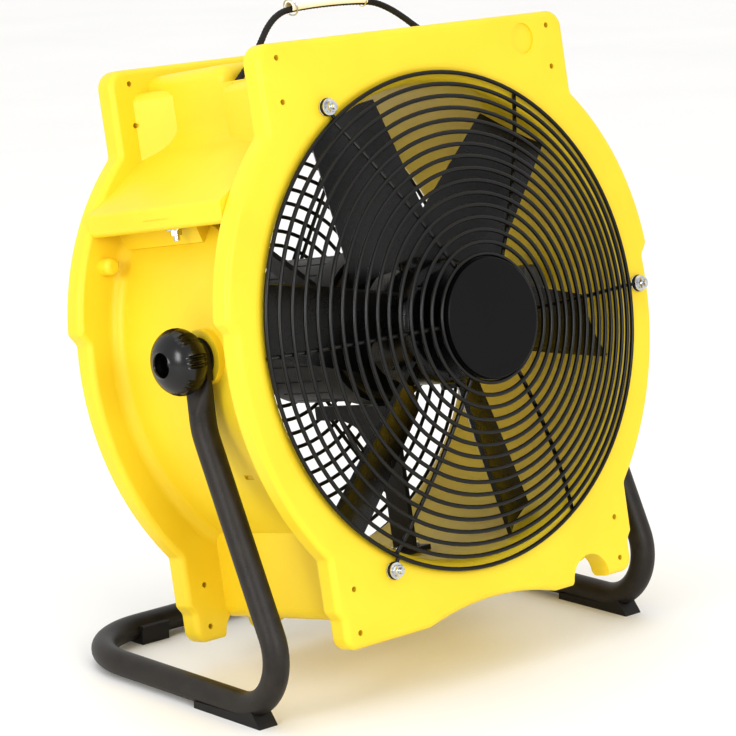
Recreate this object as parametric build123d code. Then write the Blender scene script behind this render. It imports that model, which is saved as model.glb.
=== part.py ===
from build123d import *
import math
import os

# Axial air mover: a moulded duct housing hung between the arms of a bent-tube stand.
# Head parts are drawn upright, duct axis on Y and front face at y = 0, then tilted back
# about the pivot.  Stand parts are drawn where they stand, floor at z = 0.  All sizes mm.

# Clearances
running_gap = 0.08        # radial, turning pairs
seat_gap = 0.05           # radial, parts that are pushed or screwed together
face_gap = 0.3            # axial, faces that slide past each other

# Duct and flanges
throat_r = 227.0
mouth_round = 18.0
drum_r = 233.0
flange_t = 24.0
housing_depth = 247.0
flange_top = 281.0
flange_bottom = -280.0
flange_round = 6.0
upper_half_w = 197.0
lower_half_w = 191.0
upper_bulge = [(197.0, 199.0), (250.0, 127.0), (275.5, 38.0)]
lower_bulge = [(267.0, 27.0), (262.0, -62.0), (197.0, -193.0)]
arch_half_w = 85.0
arch_rise = 12.0
notch_x = 131.5
notch_r = 24.5
corner_hole_d = 5.5
corner_hole_x = 174.0
corner_hole_z = [267.0, 226.5, -224.0, -265.0]
dimple_xz = (139.0, 257.0)
dimple_r = 15.0
dimple_depth = 2.0

# Shoulder and foot blocks between the flanges
block_top = 271.0
block_half_w = 152.0
block_front = 106.0            # the raised part runs from here to the rear flange
block_knee = 205.0             # height where its sides start to slope out to the ledge
saddle_top = 254.0
saddle_half_w = 177.0          # at the front flange; narrows to saddle_back_w behind
saddle_back_w = 158.0
cove_r = 12.0                  # soft corner between drum and flanges
peg_r = 8.5
peg_len = 16.0
peg_xz = (236.0, 97.5)
ledge_half_w = 246.0
ledge_top = 147.0
ledge_bottom = 126.0
foot_half_w = 152.0
foot_bottom = -262.0

# Guards
guard_r = 236.0
wire_d = 4.0
front_rings = 16
front_dome = 45.0
rear_rings = 13
rear_dome = 24.0
inner_ring_r = 60.5
weld_gap = 0.05           # hairline left where wires are welded across each other
twin_half = 4.5
spoke_angles = [30.0, 90.0, 150.0, 210.0, 270.0, 330.0]
bolt_circle_r = 250.0
front_bolt_angles = [90.0, 210.0, 330.0]
rear_bolt_angles = [30.0, 150.0, 270.0]
eye_r = 6.5
badge_r = 57.0
badge_t = 4.0

# M6 guard fixings
m6_r = 3.0
m6_washer_r = 8.0
m6_washer_t = 1.6
m6_flats = 10.0
m6_nut_t = 5.0

# Rotor
blade_count = 6
rotor_angle = -15.3
rotor_y = 35.0
tip_r = 223.5
root_r = 61.0
root_chord = 92.0
tip_chord = 69.0
root_pitch = 40.0
tip_pitch = 27.5
root_offset = -17.0
tip_offset = -20.0
blade_t = 4.5
blade_camber = 7.0
hub_r = 60.0
hub_depth = 62.0
hub_wall = 6.0
foot_peg_r = 13.0
foot_peg_len = 17.0
shaft_r = 9.5

# Motor
motor_r = 72.5
motor_front = 92.0
motor_rear = 238.0
motor_wall = 5.0
bell_t = 14.0
stator_len = 90.0
core_r = 40.0
air_gap = 0.6
bearing_r = 20.0
bearing_w = 12.0
band_t = 4.0
arm_y = 120.0
arm_w = 30.0
arm_t = 5.0
arm_slot_gap = 1.0
arm_tab_z = ledge_bottom + 8.5
arm_bolt_x = 224.0
foot_half_t = 20.0
foot_screw_x = (-13.0, 13.0)
foot_screw_r = 2.5

# Pivot and stand
head_tilt = 10.0
pivot_head = (90.4, 5.6)       # y, z of the pivot in the head
pivot_stand = (90.0, 336.0)    # y, z of the pivot over the floor
boss_face_x = 240.0
boss_r = 26.0
washer_t = 2.0
lug_t = 7.0
lug_half_w = 18.0
lug_straight = 20.0
lug_taper = 30.0
stud_r = 5.0
knob_r = 31.5
knob_depth = 38.0
tube_d = 25.0
tube_wall = 2.0
tube_x = boss_face_x + face_gap + washer_t + face_gap + lug_t / 2
knee = (82.0, 269.5)           # y, z of the corners of the bent tube
toe = (-40.6, 15.0)
heel_y = 311.0
knee_bend = 60.0
toe_bend = 52.0
heel_bend = 88.0
shoe_w = 22.0
shoe_front = 4.0
shoe_back = 100.0
pad_x = 149.0
pad_w = 34.0

# Rope handle
rope_d = 6.0
rope_hinge = (95.0, 250.0)     # y, z of the holes it comes out of
rope_lean = 20.0               # rests back against the raised block
rope_points = [(-153.0, -3.0), (-116.0, 22.0), (-66.0, 70.0)]    # x and height up the lean
rope_radii = [150.0, 40.0]
grip_half = 49.0
grip_d = 13.0

# Control box on the far side
box_y = (134.0, 206.0)
box_z = (14.0, 76.0)
box_x = (241.0, 259.0)
box_wall = 3.0
switch_z = 54.0
gland_r = 5.5

ring_y = m6_washer_t + wire_d / 2       # wire centre in front of the flange face


def plate(face, y0, y1):
    """Solid between two Y planes from a face drawn with X across and Z up."""
    return extrude(Plane.XZ.offset(-y0) * face, amount=y1 - y0, dir=(0, 1, 0))


def rod_x(radius, x0, x1, y, z):
    """Round bar along X."""
    return extrude(Plane.YZ.offset(x0) * Pos(y, z) * Circle(radius), amount=x1 - x0, dir=(1, 0, 0))


def block(x0, x1, y0, y1, z0, z1):
    return Pos((x0 + x1) / 2, (y0 + y1) / 2, (z0 + z1) / 2) * Box(x1 - x0, y1 - y0, z1 - z0)


def mirrored(shape):
    return mirror(shape, about=Plane.YZ)


def group(shapes):
    """One node made of several separate solids."""
    return Compound([solid for shape in shapes for solid in shape.solids()])


def clock(angle, radius):
    """X and Z of a point on the duct face; the angle runs clockwise from the top."""
    a = math.radians(angle)
    return radius * math.sin(a), radius * math.cos(a)


# ------------------------------------------------------------------ housing

def flange_face():
    """Outline of one flange, the same on both sides of the upright axis."""
    right = Line((0, flange_top), (upper_half_w, flange_top))
    right += Line((upper_half_w, flange_top), upper_bulge[0])
    right += ThreePointArc(*upper_bulge)
    right += Line(upper_bulge[2], lower_bulge[0])
    right += ThreePointArc(*lower_bulge)
    step = (lower_half_w, flange_bottom + 30)
    right += Line(lower_bulge[2], (upper_half_w, flange_bottom + 38))
    right += Line((upper_half_w, flange_bottom + 38), step)
    right += Line(step, (lower_half_w, flange_bottom))
    right += Line((lower_half_w, flange_bottom), (arch_half_w, flange_bottom))
    right += ThreePointArc(
        (arch_half_w, flange_bottom),
        (arch_half_w * 0.5, flange_bottom + arch_rise * 0.75),
        (0, flange_bottom + arch_rise),
    )
    outline = Curve() + right.edges() + mirror(right, about=Plane.YZ).edges()
    face = make_face(outline)
    corners = face.vertices().filter_by(lambda v: abs(v.X) > 1)
    tight = corners.filter_by(lambda v: v.Z > flange_top - 1 or v.Y > flange_top - 1)
    face = fillet(tight, 17)
    low = face.vertices().filter_by(lambda v: v.Y < flange_bottom + 1 and abs(v.X) > arch_half_w + 20)
    face = fillet(low, 13)
    steps = face.vertices().filter_by(
        lambda v: abs(v.X) > lower_half_w - 1 and -260 < v.Y < 210
    )
    return fillet(steps, 7)


def flange(notch_side, y0):
    """Rounded slab with an arched notch under one side (+1 or -1)."""
    body = plate(flange_face(), y0, y0 + flange_t)
    rims = body.faces().sort_by(Axis.Y)
    body = fillet(rims[0].edges() + rims[-1].edges(), flange_round)
    notch = Pos(notch_side * notch_x, flange_bottom + 2.5) * Circle(notch_r)
    notch += Pos(notch_side * notch_x, flange_bottom - 10) * Rectangle(2 * notch_r, 25)
    return body - plate(notch, y0 - 1, y0 + flange_t + 1)


def middle_face():
    """Section between the flanges up to the saddle: drum, sloping shoulders and foot block."""
    drum = Circle(drum_r)
    half = [(0, saddle_top), (block_half_w, saddle_top), (block_half_w, block_knee),
            (ledge_half_w, ledge_top), (ledge_half_w, ledge_bottom)]
    shoulder = make_face(Polyline(*half, *[(-x, z) for x, z in reversed(half[1:])], close=True))
    knees = shoulder.vertices().filter_by(lambda v: abs(v.Y - block_knee) < 1)
    shoulder = fillet(knees, 30)
    rim = shoulder.vertices().filter_by(lambda v: abs(v.X) > ledge_half_w - 1)
    shoulder = fillet(rim, 5)
    foot = Pos(0, (foot_bottom - 150) / 2) * Rectangle(2 * foot_half_w, -150 - foot_bottom)
    foot = fillet(foot.vertices().filter_by(lambda v: v.Y < -200), 12)
    return drum + shoulder + foot


def raised_block():
    """The higher part of the shoulder, rounded at its front, sides and top."""
    y1 = housing_depth - flange_t + 2
    block_box = block(-block_half_w, block_half_w, block_front, y1, block_knee, block_top)
    sides = block_box.edges().filter_by(Axis.Y).filter_by(lambda e: e.center().Z > block_top - 1)
    front = block_box.faces().sort_by(Axis.Y)[0].edges().filter_by(lambda e: e.center().Z > block_knee + 1)
    return fillet(sides + front, 13)


def shoulder_wings():
    """Upright wedges that widen the shoulder towards the flanges."""
    y_rear = housing_depth - flange_t + 2
    front = [(block_half_w - 5, block_front - 3), (saddle_back_w, block_front - 3),
             (saddle_half_w, flange_t - 2), (block_half_w - 5, flange_t - 2)]
    rear = [(block_half_w - 5, y_rear - 38), (block_half_w, y_rear - 38),
            (block_half_w + 22, y_rear), (block_half_w - 5, y_rear)]
    wings = Part()
    for plan, top in ((front, saddle_top - 2), (rear, block_top - 14)):
        wing = extrude(make_face(Polyline(*plan, close=True)), amount=top - 150)
        wing = Pos(0, 0, 150) * wing
        wings += fillet(wing.faces().sort_by(Axis.Z)[-1].edges().sort_by(Axis.X)[-1], 10)
    return wings + mirrored(wings)


def coves():
    """Soft inside corner all round between the drum and each flange."""
    r, y = drum_r, flange_t
    edge = Polyline((r + cove_r, y), (r + cove_r, y - 2), (r - 2, y - 2), (r - 2, y + cove_r), (r, y + cove_r))
    bend = r + cove_r * (1 - math.cos(math.pi / 4))
    edge += ThreePointArc((r, y + cove_r), (bend, y + cove_r * (1 - math.sin(math.pi / 4))), (r + cove_r, y))
    ring = revolve(make_face(edge), axis=Axis.Y)
    return ring + Pos(0, housing_depth, 0) * mirror(ring, about=Plane.XZ)


def haunches():
    """Sloped web under each ledge, from behind the arm bolt to the rear flange."""
    x0 = ledge_half_w - 32
    section = make_face(Polyline((x0, ledge_bottom + 1), (x0 - 6, ledge_bottom - 16),
                                 (x0 - 20, ledge_bottom - 16), (x0 - 26, ledge_bottom + 1), close=True))
    web = plate(section, arm_y - arm_w / 2 - arm_slot_gap - 1, housing_depth - flange_t + 2)
    return web + mirrored(web)


def pegs():
    """Short round moulding pegs on the inner faces of the flanges."""
    one = Part()
    for y0, y1 in ((flange_t - 2, flange_t + peg_len),
                   (housing_depth - flange_t - peg_len, housing_depth - flange_t + 2)):
        bar = plate(Pos(*peg_xz) * Circle(peg_r), y0, y1)
        tip = bar.edges().group_by(Axis.Y)[-1 if y0 < arm_y else 0]
        one += fillet(tip, 5)
    return one + mirrored(one)


def duct_bore():
    """Air passage with rounded mouths, a little longer than the housing."""
    mouth = throat_r + mouth_round
    bottom = throat_r + mouth_round * (1 - math.cos(math.pi / 4))
    depth = housing_depth
    inset = mouth_round * (1 - math.sin(math.pi / 4))
    edge = Polyline((0, 0), (0, -5), (mouth, -5), (mouth, 0))
    edge += ThreePointArc((mouth, 0), (bottom, inset), (throat_r, mouth_round))
    edge += Line((throat_r, mouth_round), (throat_r, depth - mouth_round))
    edge += ThreePointArc((throat_r, depth - mouth_round), (bottom, depth - inset), (mouth, depth))
    edge += Polyline((mouth, depth), (mouth, depth + 5), (0, depth + 5), (0, 0))
    return revolve(make_face(edge), axis=Axis.Y)


def arm_slots():
    """Pockets that take the upper motor arms, with a vertical bolt hole and a small window."""
    g = arm_slot_gap
    y0 = arm_y - arm_w / 2 - g
    y1 = arm_y + arm_w / 2 + g
    slot = block(-ledge_half_w + 5, -176, y0, y1, arm_tab_z - arm_t / 2 - g, arm_tab_z + arm_t / 2 + 8)
    hole = Pos(-arm_bolt_x, arm_y, ledge_bottom) * Cylinder(m6_r + 0.3, 12)
    window = make_face(Polyline((y0 - 1, ledge_bottom), (y0 - 21, ledge_bottom),
                                (y0 - 21, ledge_bottom - 9), close=True))
    window = extrude(Plane.YZ.offset(-220) * window, amount=35)
    one = slot + hole + window
    return one + mirrored(one)


def rope_holes():
    start, after = rope_line()[:2]
    way = after - start
    hole = Plane(origin=start - way.normalized() * 4, z_dir=way) * Circle(rope_d / 2 + 0.5)
    one = extrude(hole, amount=40)
    return one + mirrored(one)


def housing():
    body = plate(middle_face(), flange_t - 2, housing_depth - flange_t + 2)
    body += flange(1, 0)
    body += flange(-1, housing_depth - flange_t)
    body += raised_block()
    body += shoulder_wings()
    body += coves()
    body += haunches()
    body += pegs()
    boss = rod_x(boss_r, drum_r - 14, boss_face_x, *pivot_head)
    body += boss + mirrored(boss)
    body += block(drum_r - 16, box_x[0], box_y[0] - 4, box_y[1] + 4, box_z[0] - 4, box_z[1] + 4)
    body -= duct_bore()
    body -= arm_slots()
    body -= rope_holes()
    holes = [
        Pos(s * corner_hole_x, z) * Circle(corner_hole_d / 2)
        for s in (-1, 1)
        for z in corner_hole_z
    ]
    body -= plate(Sketch() + holes, -5, housing_depth + 5)
    dimple = Pos(*dimple_xz) * Circle(dimple_r)
    body -= plate(dimple, -5, dimple_depth)
    body -= plate(Pos(-dimple_xz[0], dimple_xz[1]) * Circle(dimple_r),
                  housing_depth - dimple_depth, housing_depth + 5)
    for angle in front_bolt_angles:
        x, z = clock(angle, bolt_circle_r)
        body -= plate(Pos(x, z) * Circle(m6_r + seat_gap), -5, flange_t - 8)
    for angle in rear_bolt_angles:
        x, z = clock(angle, bolt_circle_r)
        body -= plate(Pos(x, z) * Circle(m6_r + seat_gap), housing_depth - flange_t + 8,
                      housing_depth + 5)
    for x in foot_screw_x:
        body -= Pos(x, arm_y, -throat_r) * Cylinder(foot_screw_r + seat_gap, 32)
    body -= block(-drum_r, -201, 86, 98, -115.5, -111)
    for s in (-1, 1):
        body -= Pos(s * (ledge_half_w + 4.3), arm_y, (ledge_top + ledge_bottom) / 2) * Box(10, 36, 1)
    pivot_bore = rod_x(stud_r + seat_gap, boss_face_x - 10, boss_face_x + 1, *pivot_head)
    body -= pivot_bore + mirrored(pivot_bore)
    return body


# ------------------------------------------------------------------ guards

def dome_y(r, dome, offset=0.0):
    """Height of a spherical dome over its rim plane at radius r, moved along its normal."""
    ball = (guard_r ** 2 + dome ** 2) / (2 * dome)
    return math.sqrt((ball + offset) ** 2 - r ** 2) - (ball - dome)


def spoke(dome, shift):
    """One radial wire at the top, lying against the inside of the rings."""
    under = -(wire_d + weld_gap)
    radii = [inner_ring_r - 6, (guard_r + inner_ring_r) / 2, guard_r]
    path = ThreePointArc(*[(shift, -dome_y(r, dome, under), r) for r in radii])
    start = Plane(origin=path @ 0, z_dir=path % 0)
    return sweep(start * Circle(wire_d / 2), path=path)


def eye():
    """Wire loop round a stud, with the stub that joins it to the outer ring."""
    loop = Pos(0, 0, bolt_circle_r) * Rot(Y=20) * Rot(X=90) * Torus(eye_r, wire_d / 2)
    z0 = guard_r + wire_d / 2 + weld_gap
    z1 = bolt_circle_r - eye_r + 0.6
    stub = Pos(0, 0, (z0 + z1) / 2) * Cylinder(wire_d / 2 - 0.2, z1 - z0)
    return loop + stub


def guard_rings(ring_count, dome):
    """Concentric wire rings, dome towards -Y, rim plane at y = 0."""
    pitch = (guard_r - inner_ring_r) / (ring_count - 1)
    radii = [guard_r - i * pitch for i in range(ring_count)]
    return group(Pos(0, -dome_y(r, dome), 0) * Rot(X=90) * Torus(r, wire_d / 2) for r in radii)


def guard_spokes(dome, eye_angles, twin):
    """Radial wires behind the rings, single or in pairs, and the eyes on the rim."""
    shifts = (-twin_half, twin_half) if twin else (0,)
    wires = [Rot(Y=angle) * spoke(dome, shift) for angle in spoke_angles for shift in shifts]
    wires += [Rot(Y=angle) * eye() for angle in eye_angles]
    return group(wires)


def guard_fixings(angles):
    """Stud, two washers and nut for each guard eye, in front of the y = 0 face."""
    eye_back = m6_washer_t
    eye_front = m6_washer_t + wire_d
    nut_back = eye_front + m6_washer_t
    stud = plate(Circle(m6_r), -nut_back - m6_nut_t - 3, flange_t - 8.5)
    ring = Circle(m6_washer_r) - Circle(m6_r + seat_gap)
    washers = plate(ring, -eye_back, 0) + plate(ring, -nut_back, -eye_front)
    nut = RegularPolygon(m6_flats / 2, 6, major_radius=False) - Circle(m6_r + seat_gap)
    nut = plate(nut, -nut_back - m6_nut_t, -nut_back)
    places = [Pos(clock(a, bolt_circle_r)[0], 0, clock(a, bolt_circle_r)[1]) for a in angles]
    return (
        group(p * stud for p in places),
        group(p * w for p in places for w in washers.solids()),
        group(p * nut for p in places),
    )


def badge():
    """Plain disc on the middle of the front guard, held by three clips behind the inner ring."""
    y = -ring_y - dome_y(inner_ring_r, front_dome) - wire_d / 2
    disc = plate(Circle(badge_r), y - badge_t, y)
    disc = fillet(disc.edges().sort_by(Axis.Y)[0], 1.5)
    skirt = plate(Circle(inner_ring_r - wire_d / 2 - 0.4) - Circle(inner_ring_r - wire_d / 2 - 3), y, y + 2.6)
    return disc + skirt


def to_rear(shape):
    """Turn a part made for the front face round the upright axis onto the rear face."""
    return Pos(0, housing_depth, 0) * Rot(Z=180) * shape


# ------------------------------------------------------------------ rotor

def blade_section(r, chord, pitch, offset):
    """Cambered plate section square to the radius; positive side leads clockwise to the front."""
    half = chord / 2
    t = blade_t / 2
    outer = ThreePointArc((-half, t), (0, blade_camber + t), (half, t))
    inner = ThreePointArc((-half, -t), (0, blade_camber - t), (half, -t))
    rim = outer + Line((half, t), (half, -t)) + inner + Line((-half, t), (-half, -t))
    where = Plane(origin=(0, rotor_y, r), x_dir=(1, 0, 0), z_dir=(0, 0, 1))
    return where * Pos(offset, 0) * Rot(Z=-pitch) * make_face(rim)


def blade(index):
    """One blade with the round peg that the hub halves clamp."""
    mid_r = (root_r + tip_r) / 2
    sections = [
        blade_section(root_r, root_chord, root_pitch, root_offset),
        blade_section(mid_r, (root_chord + tip_chord) / 2, (root_pitch + tip_pitch) / 2,
                      (root_offset + tip_offset) / 2),
        blade_section(tip_r, tip_chord, tip_pitch, tip_offset),
    ]
    body = loft(sections) & plate(Circle(tip_r), rotor_y - 80, rotor_y + 80)
    peg = Pos(0, rotor_y, hub_r - foot_peg_len) * Cylinder(foot_peg_r - seat_gap, foot_peg_len,
                                                            align=(Align.CENTER, Align.CENTER, Align.MIN))
    neck = Pos(0, rotor_y, hub_r) * Cylinder(foot_peg_r - seat_gap, 6,
                                             align=(Align.CENTER, Align.CENTER, Align.MIN))
    return Rot(Y=rotor_angle + index * 360 / blade_count) * (body + peg + neck)


def hub_half(front):
    """Half of the clamp hub; the two halves meet on the blade plane."""
    y_front = rotor_y - hub_depth / 2
    y_rear = rotor_y + hub_depth / 2
    if front:
        cup = plate(Circle(hub_r), y_front, rotor_y)
        cup = fillet(cup.edges().sort_by(Axis.Y)[0], 10)
        cup -= plate(Circle(hub_r - foot_peg_len) - Circle(shaft_r + 12), y_front + hub_wall, rotor_y)
    else:
        cup = plate(Circle(hub_r), rotor_y, y_rear)
        cup -= plate(Circle(hub_r - foot_peg_len) - Circle(shaft_r + 12), rotor_y, y_rear - hub_wall)
    for i in range(blade_count):
        peg_hole = Pos(0, rotor_y, 0) * Cylinder(foot_peg_r, hub_r + 10,
                                                 align=(Align.CENTER, Align.CENTER, Align.MIN))
        peg_hole -= Pos(0, rotor_y, 0) * Box(60, 60, 2 * (hub_r - foot_peg_len))
        cup -= Rot(Y=rotor_angle + i * 360 / blade_count) * peg_hole
    cup -= plate(Circle(shaft_r + seat_gap), y_front - 1, y_rear + 1)
    screw_r = hub_r - 8
    for i in range(blade_count):
        x, z = clock(rotor_angle + (i + 0.5) * 360 / blade_count, screw_r)
        cup -= plate(Pos(x, z) * Circle(2.5 + seat_gap), y_front - 1, y_rear + 1)
    return cup


def hub_screws():
    y_front = rotor_y - hub_depth / 2
    y_rear = rotor_y + hub_depth / 2
    shank = plate(Circle(2.5), y_front + 4, y_rear)
    head = plate(Circle(4.6), y_rear, y_rear + 3.2)
    places = [clock(rotor_angle + (i + 0.5) * 360 / blade_count, hub_r - 8) for i in range(blade_count)]
    return group(Pos(x, 0, z) * (shank + head) for x, z in places)


# ------------------------------------------------------------------ motor

core_y0 = (motor_front + motor_rear) / 2 - stator_len / 2
core_y1 = core_y0 + stator_len


def motor_frame():
    frame = plate(Circle(motor_r) - Circle(motor_r - motor_wall), motor_front + bell_t, motor_rear - bell_t)
    for i in range(24):
        x, z = clock(i * 15 + 7.5, motor_r)
        frame -= plate(Pos(x, z) * Circle(1.2), motor_front + 50, motor_rear - bell_t - 6)
    return frame


def end_bell(y0, y1, boss_y0, boss_y1):
    """Domed cover with a spigot ring and a bearing seat."""
    cover = plate(Circle(motor_r), y0, y1)
    outer = cover.edges().group_by(Axis.Y)
    cover = fillet(outer[0] if boss_y0 > y0 else outer[-1], 6)
    cover += plate(Circle(bearing_r + 8), boss_y0, boss_y1)
    return cover


def front_bell():
    y0, y1 = motor_front, motor_front + bell_t
    bell = end_bell(y0, y1, y0 + 1, y1 + 6)
    bell -= plate(Circle(bearing_r), y0 + 4, y1 + 7)
    bell -= plate(Circle(shaft_r + 1.5), y0 - 1, y0 + 5)
    return bell


def rear_bell():
    y0, y1 = motor_rear - bell_t, motor_rear
    bell = end_bell(y0, y1, y0 - 6, y1 - 1)
    bell -= plate(Circle(bearing_r), y0 - 7, y1 - 4)
    return bell


def bearing(y0):
    body = plate(Circle(bearing_r - 0.02) - Circle(shaft_r + running_gap), y0, y0 + bearing_w)
    for y, inward in ((y0, 1), (y0 + bearing_w, -1)):
        lo, hi = sorted((y, y + inward * 0.8))
        body -= plate(Circle(bearing_r - 4) - Circle(shaft_r + 4), lo, hi)
    return body


def stator():
    """Laminated ring with slots for the windings."""
    ring = Circle(motor_r - motor_wall - seat_gap) - Circle(core_r + air_gap)
    slot = Pos(0, core_r + 10) * Rectangle(7, 16)
    ring -= [Rot(0, 0, i * 15) * slot for i in range(24)]
    return plate(ring, core_y0, core_y1)


def windings():
    """End turns standing out of both ends of the stator."""
    coil = Circle(core_r + 19) - Circle(core_r + 5)
    return group([plate(coil, core_y0 - 9, core_y0 - 0.1), plate(coil, core_y1 + 0.1, core_y1 + 9)])


def shaft():
    bar = plate(Circle(shaft_r), rotor_y - hub_depth / 2 + 4, motor_rear - 5)
    ends = bar.faces().filter_by(Axis.Y).edges()
    return chamfer(ends, 0.8)


def rotor_core():
    return plate(Circle(core_r) - Circle(shaft_r + 0.02), core_y0, core_y1)


def motor_band():
    """Clamp ring round the motor that carries the three arms."""
    y0 = arm_y - arm_w / 2
    return plate(Circle(motor_r + band_t) - Circle(motor_r + seat_gap), y0, y0 + arm_w)


def upper_arm():
    """Flat bar from the band up to its pocket in the housing ledge (left side)."""
    knee_x = 182.0
    foot_x, foot_z = clock(-60, motor_r - 4)
    spine = Polyline((-ledge_half_w + 7 + arm_t / 2, arm_tab_z), (-knee_x, arm_tab_z), (foot_x, foot_z))
    strip = make_face(offset(spine, arm_t / 2, kind=Kind.INTERSECTION, side=Side.BOTH))
    arm = plate(strip, arm_y - arm_w / 2, arm_y + arm_w / 2)
    arm -= plate(Circle(motor_r + band_t), arm_y - arm_w, arm_y + arm_w)
    arm -= Pos(-arm_bolt_x, arm_y, arm_tab_z) * Cylinder(m6_r + 0.3, 20)
    return arm


def arm_foot_z():
    """Underside of the lower arm's foot, whose long edges rest on the duct wall."""
    return -math.sqrt(throat_r ** 2 - foot_half_t ** 2) + seat_gap


def lower_arm():
    """Upright leg under the motor with a long rail and a curved gusset."""
    z_foot = arm_foot_z()
    z_rail = -motor_r - band_t - 1
    y0 = arm_y - arm_w / 2
    leg = block(-arm_t / 2, arm_t / 2, y0, y0 + arm_w, z_foot, z_rail)
    rail = block(-arm_t / 2, arm_t / 2, y0, motor_rear - 14, z_rail - 14, z_rail)
    corner = (y0 + arm_w, z_rail - 14)
    gusset = Line(corner, (corner[0] + 60, corner[1]))
    gusset += ThreePointArc((corner[0] + 60, corner[1]), (corner[0] + 18, corner[1] - 18),
                            (corner[0], corner[1] - 60))
    gusset += Line((corner[0], corner[1] - 60), corner)
    web = extrude(Plane.YZ.offset(-arm_t / 2) * make_face(gusset), amount=arm_t)
    foot = block(-foot_half_t, foot_half_t, y0, y0 + arm_w, z_foot, z_foot + arm_t)
    tie = block(-12, 12, y0, y0 + arm_w, z_rail - 4, z_rail)
    tie += block(-arm_t / 2, arm_t / 2, y0, y0 + arm_w, z_rail - 1, -motor_r + 2)
    arm = leg + rail + web + foot + tie
    arm -= plate(Circle(motor_r + band_t), y0 - 5, motor_rear)
    for x in foot_screw_x:
        arm -= Pos(x, arm_y, z_foot) * Cylinder(foot_screw_r + 0.3, 30)
    return arm


def lower_arm_screws():
    z_top = arm_foot_z() + arm_t
    head = Pos(0, arm_y, z_top) * Cylinder(4.6, 3, align=(Align.CENTER, Align.CENTER, Align.MIN))
    shank = Pos(0, arm_y, z_top) * Cylinder(foot_screw_r, 18, align=(Align.CENTER, Align.CENTER, Align.MAX))
    return group(Pos(x, 0, 0) * (head + shank) for x in foot_screw_x)


def arm_fixings():
    """Bolt with its head on the arm tab, washer and nut under the ledge, both sides."""
    tab_top = arm_tab_z + arm_t / 2
    nut_top = ledge_bottom - m6_washer_t
    shank_len = tab_top - (nut_top - m6_nut_t - 5)
    up = (Align.CENTER, Align.CENTER, Align.MIN)
    down = (Align.CENTER, Align.CENTER, Align.MAX)
    bolt = Pos(0, 0, tab_top) * extrude(RegularPolygon(m6_flats / 2, 6, major_radius=False), amount=4)
    bolt += Pos(0, 0, tab_top) * Cylinder(m6_r, shank_len, align=down)
    washer = Pos(0, 0, ledge_bottom) * Cylinder(m6_washer_r + 1, m6_washer_t, align=down)
    washer -= Pos(0, 0, ledge_bottom) * Cylinder(m6_r + seat_gap, 20)
    nut = extrude(RegularPolygon(m6_flats / 2, 6, major_radius=False), amount=-m6_nut_t)
    nut = Pos(0, 0, nut_top) * nut - Cylinder(m6_r + seat_gap, 400)
    places = [Pos(s * arm_bolt_x, arm_y, 0) for s in (-1, 1)]
    return (
        group(p * bolt for p in places),
        group(p * washer for p in places),
        group(p * nut for p in places),
    )


def motor_bolts():
    """Four long bolts seen as hex heads on the rear bell."""
    head = plate(RegularPolygon(4.0, 6, major_radius=False), motor_rear, motor_rear + 3.5)
    places = [clock(a, motor_r - 12) for a in (45, 135, 225, 315)]
    return group(Pos(x, 0, z) * head for x, z in places)


# ------------------------------------------------------------------ pivot

def knob():
    """Round clamp knob on the -X side, with groups of grip grooves and an open centre."""
    x0 = boss_face_x + face_gap + washer_t + face_gap + lug_t + face_gap
    d = knob_depth
    profile = Polyline((0, 0), (0, 15), (3, 15), (3, knob_r - 6), (8, knob_r - 1))
    profile += ThreePointArc((8, knob_r - 1), (17, knob_r), (26, knob_r - 5))
    profile += ThreePointArc((26, knob_r - 5), (34, knob_r - 15), (d, 11))
    profile += Polyline((d, 11), (d, 8), (d - 16, 8), (d - 16, 0), (0, 0))
    body = revolve(make_face(profile), axis=Axis.X)
    for cluster in range(8):
        for k in (-1, 0, 1):
            groove = Pos(15, 0, knob_r + 1.2) * Rot(Y=83) * Cylinder(2.0, 22)
            body -= Rot(X=cluster * 45 + k * 9) * groove
    body -= rod_x(stud_r + running_gap, -1, d - 10, 0, 0)
    body = Rot(Z=180) * body
    return Pos(-x0, *pivot_head) * body


def stud():
    x0 = boss_face_x - 10
    x1 = boss_face_x + face_gap * 3 + washer_t + lug_t + knob_depth - 12
    return rod_x(stud_r, -x1, -x0, *pivot_head)


def friction_washer():
    x0 = boss_face_x + face_gap
    ring = rod_x(19, -x0 - washer_t, -x0, *pivot_head)
    return ring - rod_x(stud_r + running_gap, -x0 - 5, -x0 + 5, *pivot_head)


# ------------------------------------------------------------------ stand

def tube_centre():
    """Corner points of the bent tube, left arm first, starting below the flattened end."""
    down = Vector(0, knee[0] - pivot_stand[0], knee[1] - pivot_stand[1]).normalized()
    start = Vector(0, *pivot_stand) + down * (lug_straight + lug_taper)
    left = [
        (-tube_x, start.Y, start.Z),
        (-tube_x, knee[0], knee[1]),
        (-tube_x, toe[0], toe[1]),
        (-tube_x, heel_y, toe[1]),
    ]
    right = [(-x, y, z) for x, y, z in reversed(left)]
    return left + right, down


def tube_path():
    points, _ = tube_centre()
    bends = [knee_bend, toe_bend, heel_bend, heel_bend, toe_bend, knee_bend]
    return FilletPolyline(*points, radius=bends)


def tube_solid(radius):
    path = tube_path()
    start = Plane(origin=path @ 0, z_dir=path % 0)
    return sweep(start * Circle(radius), path=path)


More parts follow.
